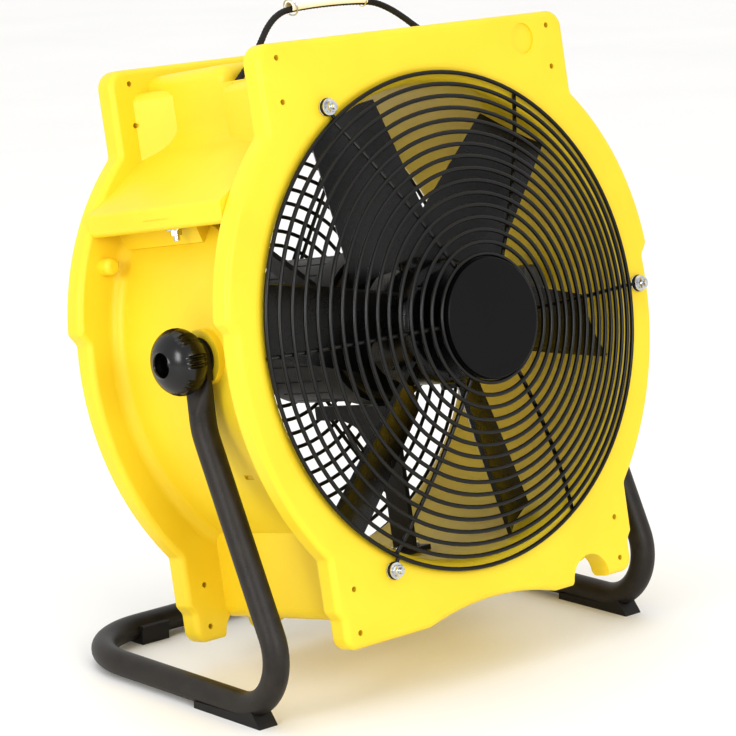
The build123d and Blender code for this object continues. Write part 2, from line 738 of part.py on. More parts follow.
def lug():
    """Flattened end of the left arm: eye, straight part and taper into the round tube."""
    _, down = tube_centre()
    eye = Vector(-tube_x, *pivot_stand)
    flat = Plane(origin=eye, x_dir=down, z_dir=(1, 0, 0))
    shape = Circle(lug_half_w) + Pos(lug_straight / 2, 0) * Rectangle(lug_straight, 2 * lug_half_w)
    tab = extrude(flat * Pos(0, 0, -lug_t / 2) * shape, amount=lug_t)
    top = Plane(origin=eye + down * lug_straight, x_dir=(1, 0, 0), z_dir=down)
    low = Plane(origin=eye + down * (lug_straight + lug_taper), x_dir=(1, 0, 0), z_dir=down)
    taper = loft([
        top * RectangleRounded(lug_t, 2 * lug_half_w, lug_t / 2 - 0.2),
        low * RectangleRounded(tube_d, tube_d, tube_d / 2 - 0.01),
    ])
    body = tab + taper
    return body - rod_x(stud_r + running_gap, -tube_x - 10, -tube_x + 10, *pivot_stand)


def stand_tube():
    body = tube_solid(tube_d / 2) - tube_solid(tube_d / 2 - tube_wall)
    return body + lug() + mirrored(lug())


def shoe():
    """Wedge-shaped rubber shoe under the left front bend."""
    side = [
        (shoe_front, 0), (shoe_back, 0), (shoe_back, 7), (shoe_front + 32, 9),
        (shoe_front + 22, 17), (shoe_front + 14, 17.5), (shoe_front + 2, 3),
    ]
    face = make_face(Polyline(*side, close=True))
    body = extrude(Plane.YZ.offset(-tube_x - shoe_w / 2) * face, amount=shoe_w)
    return body - tube_solid(tube_d / 2 + seat_gap)


def pad():
    """Clip-on rubber foot on the left half of the rear crossbar."""
    half = tube_d / 2 + 4.5
    body = block(-pad_x - pad_w / 2, -pad_x + pad_w / 2, heel_y - half, heel_y + half, 0, 19)
    body += block(-pad_x - pad_w / 2, -pad_x + pad_w / 2, heel_y - half - 2, heel_y - half + 2, 16, 19)
    return body - tube_solid(tube_d / 2 + seat_gap)


# ------------------------------------------------------------------ handle

def rope_line():
    """Corner points of the bow, leaning back from its holes."""
    a = math.radians(rope_lean)
    left = [Vector(x, rope_hinge[0] + h * math.sin(a), rope_hinge[1] + h * math.cos(a))
            for x, h in rope_points]
    return left + [Vector(-p.X, p.Y, p.Z) for p in reversed(left)]


def rope_path():
    return FilletPolyline(*rope_line(), radius=rope_radii + rope_radii[::-1])


def rope():
    path = rope_path()
    start = Plane(origin=path @ 0, z_dir=path % 0)
    return sweep(start * Circle(rope_d / 2), path=path)


def grip():
    _, y, z = rope_line()[2]
    sleeve = rod_x(grip_d / 2, -grip_half, grip_half, y, z)
    return sleeve - rod_x(rope_d / 2 + 0.3, -grip_half - 1, grip_half + 1, y, z)


def grip_rings():
    _, y, z = rope_line()[2]
    ring = rod_x(grip_d / 2 + 1.2, grip_half - 5, grip_half - 3.5, y, z)
    ring -= rod_x(grip_d / 2 + 0.02, grip_half - 6, grip_half, y, z)
    return group([ring, mirrored(ring)])


# ------------------------------------------------------------------ controls

def control_box():
    body = block(*box_x, *box_y, *box_z)
    body = fillet(body.edges().filter_by(Axis.X), 5)
    body = fillet(body.faces().sort_by(Axis.X)[-1].edges(), 2.5)
    body -= block(box_x[0] - 1, box_x[1] - box_wall, box_y[0] + box_wall, box_y[1] - box_wall,
                  box_z[0] + box_wall, box_z[1] - box_wall)
    y = (box_y[0] + box_y[1]) / 2
    body -= rod_x(3 + running_gap, box_x[1] - 5, box_x[1] + 1, y, switch_z)
    body -= Pos(250, y, box_z[0]) * Cylinder(gland_r + seat_gap, 12)
    return body


def switch_knob():
    y = (box_y[0] + box_y[1]) / 2
    skirt = rod_x(13, box_x[1] + face_gap, box_x[1] + 4, y, switch_z)
    bar = block(box_x[1] + 3, box_x[1] + 12, y - 3.5, y + 3.5, switch_z - 12, switch_z + 12)
    bar = fillet(bar.edges().filter_by(Axis.X), 2)
    stem = rod_x(3, box_x[1] - 8, box_x[1] + 4, y, switch_z)
    return skirt + bar + stem


def capacitor():
    y = (box_y[0] + box_y[1]) / 2
    can = Pos(249, y, 31) * Rot(X=90) * Cylinder(6.5, 44)
    return chamfer(can.faces().filter_by(Axis.Y).edges(), 1)


def cable_gland():
    """Cord inlet under the control box; the cord itself is not part of the model."""
    y = (box_y[0] + box_y[1]) / 2
    up = (Align.CENTER, Align.CENTER, Align.MIN)
    down = (Align.CENTER, Align.CENTER, Align.MAX)
    gland = Pos(0, 0, box_z[0]) * Cylinder(gland_r, 8, align=up)
    gland += Pos(0, 0, box_z[0]) * extrude(RegularPolygon(7.4, 6, major_radius=False), amount=-5)
    gland += Pos(0, 0, box_z[0] - 5) * Cylinder(6.6, 9, align=down)
    gland = Pos(250, y, 0) * gland
    return gland - Pos(250, y, box_z[0]) * Cylinder(3.6, 60)


def terminal_box():
    """Small junction box on the duct wall behind the rotor."""
    body = block(203, throat_r + 5, 108, 138, 4, 30)
    body = fillet(body.edges(), 2)
    return body & plate(Circle(throat_r - seat_gap), 100, 150)


# ------------------------------------------------------------------ placing and export

def on_head(shape):
    """Tilt a head part back about the pivot and hang it on the stand."""
    return Pos(0, *pivot_stand) * Rot(X=-head_tilt) * Pos(0, -pivot_head[0], -pivot_head[1]) * shape


def head_parts():
    parts = {"housing": housing()}
    to_face = Pos(0, -ring_y, 0)
    parts["front_guard_rings"] = to_face * guard_rings(front_rings, front_dome)
    parts["front_guard_spokes"] = to_face * guard_spokes(front_dome, front_bolt_angles, False)
    parts["guard_badge"] = badge()
    studs, washers, nuts = guard_fixings(front_bolt_angles)
    parts["front_guard_studs"] = studs
    parts["front_guard_washers"] = washers
    parts["front_guard_nuts"] = nuts
    turned = [360 - a for a in rear_bolt_angles]
    parts["rear_guard_rings"] = to_rear(to_face * guard_rings(rear_rings, rear_dome))
    parts["rear_guard_spokes"] = to_rear(to_face * guard_spokes(rear_dome, turned, True))
    studs, washers, nuts = guard_fixings(turned)
    parts["rear_guard_studs"] = to_rear(studs)
    parts["rear_guard_washers"] = to_rear(washers)
    parts["rear_guard_nuts"] = to_rear(nuts)
    for i in range(blade_count):
        parts[f"blade_{i + 1}"] = blade(i)
    parts["hub_front"] = hub_half(True)
    parts["hub_rear"] = hub_half(False)
    parts["hub_screws"] = hub_screws()
    parts["shaft"] = shaft()
    parts["rotor_core"] = rotor_core()
    parts["motor_frame"] = motor_frame()
    parts["motor_bell_front"] = front_bell()
    parts["motor_bell_rear"] = rear_bell()
    parts["motor_bolts"] = motor_bolts()
    parts["bearing_front"] = bearing(motor_front + bell_t + 6 - bearing_w - 1)
    parts["bearing_rear"] = bearing(motor_rear - bell_t - 6 + 1)
    parts["stator"] = stator()
    parts["windings"] = windings()
    parts["motor_band"] = motor_band()
    parts["motor_arm_left"] = upper_arm()
    parts["motor_arm_right"] = mirrored(upper_arm())
    parts["motor_arm_bottom"] = lower_arm()
    parts["bottom_arm_screws"] = lower_arm_screws()
    bolts, washers, nuts = arm_fixings()
    parts["arm_bolts"] = bolts
    parts["arm_washers"] = washers
    parts["arm_nuts"] = nuts
    parts["terminal_box"] = terminal_box()
    parts["control_box"] = control_box()
    parts["switch_knob"] = switch_knob()
    parts["capacitor"] = capacitor()
    parts["cable_gland"] = cable_gland()
    parts["rope_handle"] = rope()
    parts["grip_sleeve"] = grip()
    parts["grip_rings"] = grip_rings()
    for side, turn in (("left", lambda s: s), ("right", mirrored)):
        parts[f"pivot_stud_{side}"] = turn(stud())
        parts[f"pivot_washer_{side}"] = turn(friction_washer())
        parts[f"knob_{side}"] = turn(knob())
    return parts


def stand_parts():
    return {
        "stand_tube": stand_tube(),
        "shoe_left": shoe(),
        "shoe_right": mirrored(shoe()),
        "pad_left": pad(),
        "pad_right": mirrored(pad()),
    }


parts = {name: on_head(shape) for name, shape in head_parts().items()}
parts.update(stand_parts())

boxes = [shape.bounding_box() for shape in parts.values()]
front_y = min(b.min.Y for b in boxes)
back_y = max(b.max.Y for b in boxes)
to_origin = Pos(0, -(front_y + back_y) / 2, 0)

os.makedirs("parts", exist_ok=True)
for name, shape in parts.items():
    export_step(to_origin * shape, f"parts/{name}.step")
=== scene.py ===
# Axial air mover on a bent-tube stand: finishes, soft parts and small hardware around the CAD frame.
import bpy
import bmesh
import math
from mathutils import Matrix, Vector


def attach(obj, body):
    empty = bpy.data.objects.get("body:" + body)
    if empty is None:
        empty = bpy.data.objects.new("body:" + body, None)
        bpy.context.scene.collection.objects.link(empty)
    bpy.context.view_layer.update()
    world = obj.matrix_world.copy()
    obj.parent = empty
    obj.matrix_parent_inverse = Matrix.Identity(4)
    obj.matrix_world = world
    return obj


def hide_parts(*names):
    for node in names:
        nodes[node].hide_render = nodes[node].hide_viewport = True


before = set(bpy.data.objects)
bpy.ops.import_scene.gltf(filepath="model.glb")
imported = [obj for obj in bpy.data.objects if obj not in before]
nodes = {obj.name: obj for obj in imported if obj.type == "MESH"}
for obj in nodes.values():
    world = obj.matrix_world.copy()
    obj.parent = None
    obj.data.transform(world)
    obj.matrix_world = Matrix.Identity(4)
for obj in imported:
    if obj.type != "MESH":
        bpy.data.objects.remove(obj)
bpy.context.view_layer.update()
print("frame loaded:", len(nodes), "nodes")

mm = 0.001                  # metres


# ---- materials ----

def hexColour(code):
    # sRGB hex to the linear values that sockets take
    parts = [int(code[i:i + 2], 16) / 255 for i in (1, 3, 5)]
    linear = [c / 12.92 if c <= 0.04045 else ((c + 0.055) / 1.055) ** 2.4 for c in parts]
    return (*linear, 1.0)


def addNode(material, kind, settings=None, links=None):
    # settings go to the node itself or to its inputs; links are input name -> (node, output name)
    tree = material.node_tree
    node = tree.nodes.new(kind)
    for key, value in (settings or {}).items():
        if hasattr(node, key):
            setattr(node, key, value)
        else:
            node.inputs[key].default_value = value
    for key, (source, output) in (links or {}).items():
        tree.links.new(source.outputs[output], node.inputs[key])
    return node


def startMaterial(name, shader):
    material = bpy.data.materials.new(name)
    material.use_nodes = True
    tree = material.node_tree
    tree.nodes.clear()
    surface = addNode(material, "ShaderNodeBsdfPrincipled", shader)
    addNode(material, "ShaderNodeOutputMaterial", links={"Surface": (surface, "BSDF")})
    place = addNode(material, "ShaderNodeTexCoord")
    return material, surface, place


def feed(material, surface, links):
    for key, (source, output) in links.items():
        material.node_tree.links.new(source.outputs[output], surface.inputs[key])


def setStops(ramp, stops):
    # stops: (position, colour) from low to high
    elements = ramp.color_ramp.elements
    while len(elements) > len(stops):
        elements.remove(elements[-1])
    while len(elements) < len(stops):
        elements.new(1.0)
    for element, (position, colour) in zip(elements, stops):
        element.position = position
        element.color = colour


polyethylene = {
    "pale": "#EACF33",      # where the wall is thick and lets light in
    "deep": "#E6C62B",
    "scuff": "#EFD65A",
    "cloud": 140,           # mm, size of the faint colour drift
    "peel": 2.2,            # mm, orange peel of the mould
    "grain": 0.5,           # mm, fine mould texture
}


def mouldedPolyethylene():
    # rotomoulded polyethylene: waxy, soft highlights, light scatters under the skin, faint orange peel
    material, surface, place = startMaterial("mouldedPolyethylene", {
        "Roughness": 0.42, "IOR": 1.5, "Subsurface Weight": 0.08, "Subsurface Scale": 0.006,
        "Subsurface Radius": (1.0, 0.7, 0.15), "Specular IOR Level": 0.4,
    })
    drift = addNode(material, "ShaderNodeTexNoise",
                    {"Scale": 1000 / polyethylene["cloud"], "Detail": 3.0, "Roughness": 0.5},
                    {"Vector": (place, "Object")})
    tint = addNode(material, "ShaderNodeValToRGB", links={"Fac": (drift, "Fac")})
    setStops(tint, [(0.35, hexColour(polyethylene["deep"])), (0.65, hexColour(polyethylene["pale"]))])
    rub = addNode(material, "ShaderNodeTexNoise", {"Scale": 38.0, "Detail": 8.0, "Roughness": 0.7},
                  {"Vector": (place, "Object")})
    rubMask = addNode(material, "ShaderNodeValToRGB", links={"Fac": (rub, "Fac")})
    setStops(rubMask, [(0.62, (0, 0, 0, 1)), (0.8, (0.35, 0.35, 0.35, 1))])
    colour = addNode(material, "ShaderNodeMix", {"data_type": "RGBA"})
    tree = material.node_tree
    tree.links.new(rubMask.outputs["Color"], colour.inputs[0])
    tree.links.new(tint.outputs["Color"], colour.inputs[6])
    colour.inputs[7].default_value = hexColour(polyethylene["scuff"])
    peel = addNode(material, "ShaderNodeTexNoise",
                   {"Scale": 1000 / polyethylene["peel"] / 2, "Detail": 2.0}, {"Vector": (place, "Object")})
    grain = addNode(material, "ShaderNodeTexNoise",
                    {"Scale": 1000 / polyethylene["grain"] / 2, "Detail": 1.0},
                    {"Vector": (place, "Object")})
    coarse = addNode(material, "ShaderNodeBump", {"Strength": 0.10, "Distance": 0.0008},
                     {"Height": (peel, "Fac")})
    fine = addNode(material, "ShaderNodeBump", {"Strength": 0.07, "Distance": 0.0003},
                   {"Height": (grain, "Fac"), "Normal": (coarse, "Normal")})
    sheen = addNode(material, "ShaderNodeMapRange", {"To Min": 0.36, "To Max": 0.5},
                    {"Value": (drift, "Fac")})
    feed(material, surface, {"Normal": (fine, "Normal"), "Roughness": (sheen, "Result")})
    tree.links.new(colour.outputs[2], surface.inputs["Base Color"])
    return material


coating = {
    "base": "#1B1713",
    "high": "#29231D",
    "speck": 1.1,           # mm, leathery powder texture, drawn a little coarse so that it shows
}


def powderCoat(name, base, high, roughness, bump):
    # baked powder coat: matt brown-black with a fine leathery texture that breaks up highlights
    material, surface, place = startMaterial(name, {"Roughness": roughness, "Specular IOR Level": 0.4})
    cells = addNode(material, "ShaderNodeTexVoronoi", {"Scale": 1000 / coating["speck"] / 1.6},
                    {"Vector": (place, "Object")})
    drift = addNode(material, "ShaderNodeTexNoise", {"Scale": 60.0, "Detail": 5.0},
                    {"Vector": (place, "Object")})
    tint = addNode(material, "ShaderNodeValToRGB", links={"Fac": (drift, "Fac")})
    setStops(tint, [(0.35, hexColour(base)), (0.7, hexColour(high))])
    texture = addNode(material, "ShaderNodeBump", {"Strength": bump, "Distance": 0.0004},
                      {"Height": (cells, "Distance")})
    gloss = addNode(material, "ShaderNodeMapRange",
                    {"To Min": roughness - 0.06, "To Max": roughness + 0.08}, {"Value": (drift, "Fac")})
    feed(material, surface, {"Base Color": (tint, "Color"), "Normal": (texture, "Normal"),
                             "Roughness": (gloss, "Result")})
    return material


def mouldedPlastic(name, base, high, roughness, grain, gloss=0.5):
    # injection-moulded plastic: even colour, fine spark-eroded grain in mm, soft sheen
    material, surface, place = startMaterial(name, {"Roughness": roughness, "Specular IOR Level": gloss})
    drift = addNode(material, "ShaderNodeTexNoise", {"Scale": 25.0, "Detail": 4.0},
                    {"Vector": (place, "Object")})
    tint = addNode(material, "ShaderNodeValToRGB", links={"Fac": (drift, "Fac")})
    setStops(tint, [(0.3, hexColour(base)), (0.75, hexColour(high))])
    spark = addNode(material, "ShaderNodeTexNoise", {"Scale": 1000 / grain / 2, "Detail": 3.0},
                    {"Vector": (place, "Object")})
    texture = addNode(material, "ShaderNodeBump", {"Strength": 0.15, "Distance": 0.0003},
                      {"Height": (spark, "Fac")})
    sheen = addNode(material, "ShaderNodeMapRange",
                    {"To Min": roughness - 0.05, "To Max": roughness + 0.07}, {"Value": (drift, "Fac")})
    feed(material, surface, {"Base Color": (tint, "Color"), "Normal": (texture, "Normal"),
                             "Roughness": (sheen, "Result")})
    return material


def platedMetal(name, base, high, roughness, grain):
    # plated or machined metal: slightly cloudy reflections from the bath or the tool
    material, surface, place = startMaterial(name, {"Metallic": 1.0, "Roughness": roughness})
    cloud = addNode(material, "ShaderNodeTexNoise", {"Scale": 1000 / grain / 2, "Detail": 5.0},
                    {"Vector": (place, "Object")})
    tint = addNode(material, "ShaderNodeValToRGB", links={"Fac": (cloud, "Fac")})
    setStops(tint, [(0.3, hexColour(base)), (0.7, hexColour(high))])
    gloss = addNode(material, "ShaderNodeMapRange",
                    {"To Min": roughness - 0.07, "To Max": roughness + 0.1}, {"Value": (cloud, "Fac")})
    texture = addNode(material, "ShaderNodeBump", {"Strength": 0.08, "Distance": 0.0002},
                      {"Height": (cloud, "Fac")})
    feed(material, surface, {"Base Color": (tint, "Color"), "Roughness": (gloss, "Result"),
                             "Normal": (texture, "Normal")})
    return material


finishes = {
    "polyethylene": mouldedPolyethylene(),
    "standCoat": powderCoat("powderCoatedTube", coating["base"], coating["high"], 0.46, 0.35),
    "wireCoat": powderCoat("powderCoatedWire", "#050505", "#0A0A09", 0.3, 0.06),
    "armCoat": powderCoat("powderCoatedSteelStrip", "#121110", "#1C1A19", 0.42, 0.2),
    "motorCoat": powderCoat("paintedMotorShell", "#161616", "#201F1E", 0.4, 0.25),
    "nylon": mouldedPlastic("mouldedGlassFilledNylon", "#070707", "#0D0D0E", 0.26, 0.6, 0.5),
    "badgeCoat": mouldedPlastic("mouldedMattBlackDisc", "#030303", "#060606", 0.36, 0.4, 0.2),
    "knobPlastic": mouldedPlastic("mouldedKnobPlastic", "#060606", "#0C0B0B", 0.2, 0.5),
    "boxGrey": mouldedPlastic("mouldedGreyHousing", "#4B4D50", "#56585B", 0.5, 0.5),
    "boxBlack": mouldedPlastic("mouldedBlackBox", "#121213", "#1B1B1D", 0.48, 0.5),
    "rubber": mouldedPlastic("mouldedRubber", "#13110F", "#1E1B18", 0.6, 0.7, 0.4),
    "cord": mouldedPlastic("braidedPolyesterYarn", "#0B0A0A", "#24211F", 0.55, 0.8),
    "hose": mouldedPlastic("extrudedSoftVinylHose", "#EFE8D8", "#F6F1E6", 0.3, 0.9),
    "zinc": platedMetal("zincPlatedSteel", "#B9BCC0", "#DCDDDE", 0.24, 2.5),
    "steel": platedMetal("groundSteel", "#A7A9AB", "#C4C5C6", 0.24, 1.2),
    "lamination": platedMetal("varnishedLaminations", "#4C4B4C", "#5F5E5E", 0.42, 0.8),
    "copper": platedMetal("enamelledCopperWire", "#9A4E22", "#C06A34", 0.35, 1.0),
    "canMetal": platedMetal("drawnAluminiumCan", "#B4B6B8", "#CBCCCD", 0.38, 1.5),
}

nodeFinish = {
    "housing": "polyethylene", "stand_tube": "standCoat",
    "shoe_left": "rubber", "shoe_right": "rubber", "pad_left": "rubber", "pad_right": "rubber",
    "front_guard_rings": "wireCoat", "front_guard_spokes": "wireCoat",
    "rear_guard_rings": "wireCoat", "rear_guard_spokes": "wireCoat", "guard_badge": "badgeCoat",
    "hub_front": "nylon", "hub_rear": "nylon", "hub_screws": "zinc",
    "motor_frame": "motorCoat", "motor_bell_front": "motorCoat", "motor_bell_rear": "motorCoat",
    "motor_bolts": "zinc", "motor_band": "armCoat", "motor_arm_left": "armCoat",
    "motor_arm_right": "armCoat", "motor_arm_bottom": "armCoat", "bottom_arm_screws": "zinc",
    "arm_bolts": "zinc", "arm_washers": "zinc", "arm_nuts": "zinc",
    "bearing_front": "steel", "bearing_rear": "steel", "shaft": "steel",
    "stator": "lamination", "rotor_core": "lamination", "windings": "copper",
    "terminal_box": "boxGrey", "control_box": "boxBlack", "switch_knob": "boxGrey",
    "cable_gland": "boxBlack", "capacitor": "canMetal",
    "rope_handle": "cord", "grip_sleeve": "hose", "grip_rings": "zinc",
    "knob_left": "knobPlastic", "knob_right": "knobPlastic",
    "pivot_stud_left": "zinc", "pivot_stud_right": "zinc",
    "pivot_washer_left": "rubber", "pivot_washer_right": "rubber",
}
for name in ("front_guard", "rear_guard"):
    for part in ("studs", "washers", "nuts"):
        nodeFinish[f"{name}_{part}"] = "zinc"
for i in range(1, 7):
    nodeFinish[f"blade_{i}"] = "nylon"

for name, finish in nodeFinish.items():
    nodes[name].data.materials.clear()
    nodes[name].data.materials.append(finishes[finish])
print("finishes given to", len(nodeFinish), "nodes")


# ---- where the tilted head is ----

head = {
    "tilt": 10.0,                       # degrees back from upright
    "pivot": (90.4, 5.6),               # mm behind the front face, and above the duct axis
    "pivotHeight": 336.0,               # mm over the floor
    "pivotDepth": -43.69,               # mm along Y
}
headMatrix = (Matrix.Translation((0, head["pivotDepth"] * mm, head["pivotHeight"] * mm))
              @ Matrix.Rotation(math.radians(-head["tilt"]), 4, "X")
              @ Matrix.Diagonal((mm, mm, mm, 1))
              @ Matrix.Translation((0, -head["pivot"][0], -head["pivot"][1])))


def clockPlace(angle, radius, depth):
    # a point of the head in mm, the angle running clockwise from the top of the duct
    turn = math.radians(angle)
    return Vector((radius * math.sin(turn), depth, radius * math.cos(turn)))


def keepMesh(bm, name, body, finish, node=None, smooth=35):
    bmesh.ops.remove_doubles(bm, verts=bm.verts, dist=1e-6)
    bmesh.ops.recalc_face_normals(bm, faces=bm.faces)
    for face in bm.faces:
        face.smooth = True
    for edge in bm.edges:
        edge.smooth = len(edge.link_faces) == 2 and edge.calc_face_angle(0) < math.radians(smooth)
    mesh = bpy.data.meshes.new(name)
    bm.to_mesh(mesh)
    bm.free()
    piece = bpy.data.objects.new(name, mesh)
    bpy.context.scene.collection.objects.link(piece)
    mesh.materials.append(finishes[finish])
    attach(piece, body)
    if node:
        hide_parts(node)
    return piece


def spinProfile(bm, profile, steps):
    # profile: (place along X, radius) in mm, turned round the X axis
    verts = [bm.verts.new((x, 0, r)) for x, r in profile]
    edges = [bm.edges.new(pair) for pair in zip(verts, verts[1:])]
    bmesh.ops.spin(bm, geom=verts + edges, cent=(0, 0, 0), axis=(1, 0, 0), angle=2 * math.pi,
                   steps=steps, use_merge=True)


# ---- clamp knobs ----

knob = {
    "face": 249.9,          # mm from the middle to its back
    "depth": 38.0,
    "radius": 31.5,
    "belly": 16.0,          # mm from its back to its widest ring
    "mouth": 11.0,          # radius of the open centre
    "mouthDepth": 15.0,
    "steps": 240,
    "groove": 2.3,          # mm deep
    "grooveHalf": 3.4,      # degrees
    "grooveGap": 8.6,       # degrees from one groove to the next in a group of three
    "grooveStart": 2.5,     # mm from its back
    "grooveEnd": 28.0,      # mm from its back, where the grooves run out
    "groups": 8,
    "bore": 5.2,            # radius of the hole for the stud
    "rim": 24.0,            # radius of the flat back, inside which nothing is grooved
    "domeEnd": 68,          # degrees of the dome's arc at the mouth
}


def knobProfile():
    # from the stud's hole round the back, over the dome and down into the open mouth
    k = knob
    rim = [(0, k["bore"]), (0, 14), (2.2, 15), (2.2, k["rim"]), (3, 26)]
    back = []
    for i in range(9):
        turn = math.radians(60 - 60 * i / 8)
        back.append((k["belly"] - 12.5 * math.sin(turn),
                     k["radius"] * (0.86 + 0.14 * math.cos(1.5 * turn))))
    dome = []
    for i in range(1, 17):
        turn = math.radians(k["domeEnd"] * i / 16)
        dome.append((k["belly"] + (k["depth"] - k["belly"]) * math.sin(turn),
                     k["radius"] * math.cos(turn) ** 0.92))
    mouth = [(k["depth"] - 0.9, k["mouth"] + 0.9), (k["depth"] - 1.6, k["mouth"] + 0.2),
             (k["depth"] - 2.6, k["mouth"]), (k["depth"] - k["mouthDepth"], k["mouth"] - 0.4),
             (k["depth"] - k["mouthDepth"], k["bore"])]
    return rim + back + dome + mouth


def grooveDepth(x, angle):
    k = knob
    # degrees from the middle of the nearest group, then from the nearest of its three grooves
    group = 360 / k["groups"]
    across = (angle + group / 2) % group - group / 2
    nearest = max(-1, min(1, round(across / k["grooveGap"]))) * k["grooveGap"]
    side = abs(across - nearest) / k["grooveHalf"]
    if side >= 1 or not k["grooveStart"] < x < k["grooveEnd"]:
        return 0.0
    along = min(1, (x - k["grooveStart"]) / 2, (k["grooveEnd"] - x) / 6)
    return k["groove"] * along * math.cos(side * math.pi / 2) ** 0.6


def makeKnob(side):
    bm = bmesh.new()
    spinProfile(bm, knobProfile(), knob["steps"])
    for vert in bm.verts:
        radius = math.hypot(vert.co.y, vert.co.z)
        if radius < knob["rim"]:
            continue
        cut = grooveDepth(vert.co.x, math.degrees(math.atan2(vert.co.y, vert.co.z)))
        vert.co.y *= (radius - cut) / radius
        vert.co.z *= (radius - cut) / radius
    sign = -1 if side == "left" else 1
    bmesh.ops.scale(bm, vec=(sign, 1, 1), verts=bm.verts)
    bmesh.ops.translate(bm, vec=(sign * knob["face"], *head["pivot"]), verts=bm.verts)
    bmesh.ops.transform(bm, matrix=headMatrix, verts=bm.verts)
    keepMesh(bm, f"clampKnob_{side}", f"knob_{side}", "knobPlastic", f"knob_{side}", 50)


for side in ("left", "right"):
    makeKnob(side)
print("clamp knobs made")


# ---- guard fixings ----

fixing = {
    "circle": 250.0,        # mm, radius of the ring of studs
    "front": (90, 210, 330),
    "rear": (30, 150, 270),
    "washer": (8.0, 3.15, 1.6),         # outer radius, hole radius, thickness
    "washerBacks": (0.0, 5.6),          # mm in front of the flange: under and over the guard eye
    "nut": (10.0, 5.0),                 # across flats, height
    "stud": (3.0, -15.5, 15.2),         # radius, inner end, outer end
    "thread": 1.0,                      # mm pitch
    "duct": 247.0,                      # mm between the two flange faces
}


def addRing(bm, outer, inner, low, high, ease):
    # washer with its punched edges eased, round the X axis
    spinProfile(bm, [(low, inner), (high, inner), (high, outer - ease), (high - ease, outer),
                     (low + ease, outer), (low, outer - ease), (low, inner)], 40)


def addHexNut(bm, flats, low, high, bore):
    # six flats with turned chamfers: the corners of both end faces are pulled in to a circle
    made = bmesh.ops.create_circle(bm, cap_ends=False, segments=72, radius=1)["verts"]
    loop = list({e for v in made for e in v.link_edges})
    levels = [(low, 0.0), (low + 0.55, 1.0), (high - 0.55, 1.0), (high, 0.0)]
    rows = [made]
    for _ in levels[1:]:
        grown = bmesh.ops.extrude_edge_only(bm, edges=loop)["geom"]
        rows.append([g for g in grown if isinstance(g, bmesh.types.BMVert)])
        loop = [g for g in grown if isinstance(g, bmesh.types.BMEdge)
                and all(v in rows[-1] for v in g.verts)]
    for row, (level, full) in zip(rows, levels):
        for vert in row:
            turn = math.atan2(vert.co.y, vert.co.x)
            sixth = (turn + math.pi / 6) % (math.pi / 3) - math.pi / 6
            hexagon = flats / 2 / math.cos(sixth)
            radius = hexagon if full else min(hexagon, flats / 2 * 0.98)
            vert.co = (level, radius * math.sin(turn), radius * math.cos(turn))
    for row, level in ((rows[0], low), (rows[-1], high)):
        ends = [e for e in {e for v in row for e in v.link_edges} if all(v in row for v in e.verts)]
        inner = bmesh.ops.extrude_edge_only(bm, edges=ends)["geom"]
        for vert in (g for g in inner if isinstance(g, bmesh.types.BMVert)):
            turn = math.atan2(vert.co.y, vert.co.z)
            vert.co = (level, bore * math.sin(turn), bore * math.cos(turn))
    ring = [e for e in bm.edges if e.is_boundary]
    bmesh.ops.bridge_loops(bm, edges=ring)


def addThread(bm, radius, low, high, pitch):
    # rolled thread drawn as closed grooves, with a domed end
    profile = [(low, 0.01), (low, radius - 0.5)]
    turns = int((high - low - 1.5) / pitch)
    for i in range(turns):
        profile += [(low + i * pitch + 0.1, radius - 0.35), (low + (i + 0.5) * pitch, radius)]
    profile += [(high - 0.6, radius - 0.4), (high - 0.1, radius - 1.3), (high, 0.01)]
    spinProfile(bm, profile, 24)


def placeFixing(bm, end, angle):
    # local +X becomes outwards from the flange face
    outward = Matrix.Rotation(math.radians(-90), 4, "Z")
    spot = Matrix.Translation(clockPlace(angle, fixing["circle"], 0))
    if end == "rear":
        spot = Matrix.Translation((0, fixing["duct"], 0)) @ Matrix.Rotation(math.pi, 4, "Z") @ spot
    bmesh.ops.transform(bm, matrix=headMatrix @ spot @ outward, verts=bm.verts)


def joined(parts):
    # one bmesh out of several
    whole = bmesh.new()
    for part in parts:
        mesh = bpy.data.meshes.new("part")
        part.to_mesh(mesh)
        part.free()
        whole.from_mesh(mesh)
        bpy.data.meshes.remove(mesh)
    return whole


def makeFixings(end):
    f = fixing
    kinds = {"washers": [], "nuts": [], "studs": []}
    nutLow = f["washerBacks"][1] + f["washer"][2]
    for angle in f[end]:
        for low in f["washerBacks"]:
            bm = bmesh.new()
            addRing(bm, f["washer"][0], f["washer"][1], low, low + f["washer"][2], 0.3)
            placeFixing(bm, end, angle)
            kinds["washers"].append(bm)
        bm = bmesh.new()
        addHexNut(bm, f["nut"][0], nutLow, nutLow + f["nut"][1], f["washer"][1])
        placeFixing(bm, end, angle)
        kinds["nuts"].append(bm)
        bm = bmesh.new()
        addThread(bm, *f["stud"], f["thread"])
        placeFixing(bm, end, angle)
        kinds["studs"].append(bm)
    for kind, parts in kinds.items():
        keepMesh(joined(parts), f"{end}Guard_{kind}", "head", "zinc", f"{end}_guard_{kind}", 30)


for end in ("front", "rear"):
    makeFixings(end)
print("guard fixings made")


# ---- rope handle ----

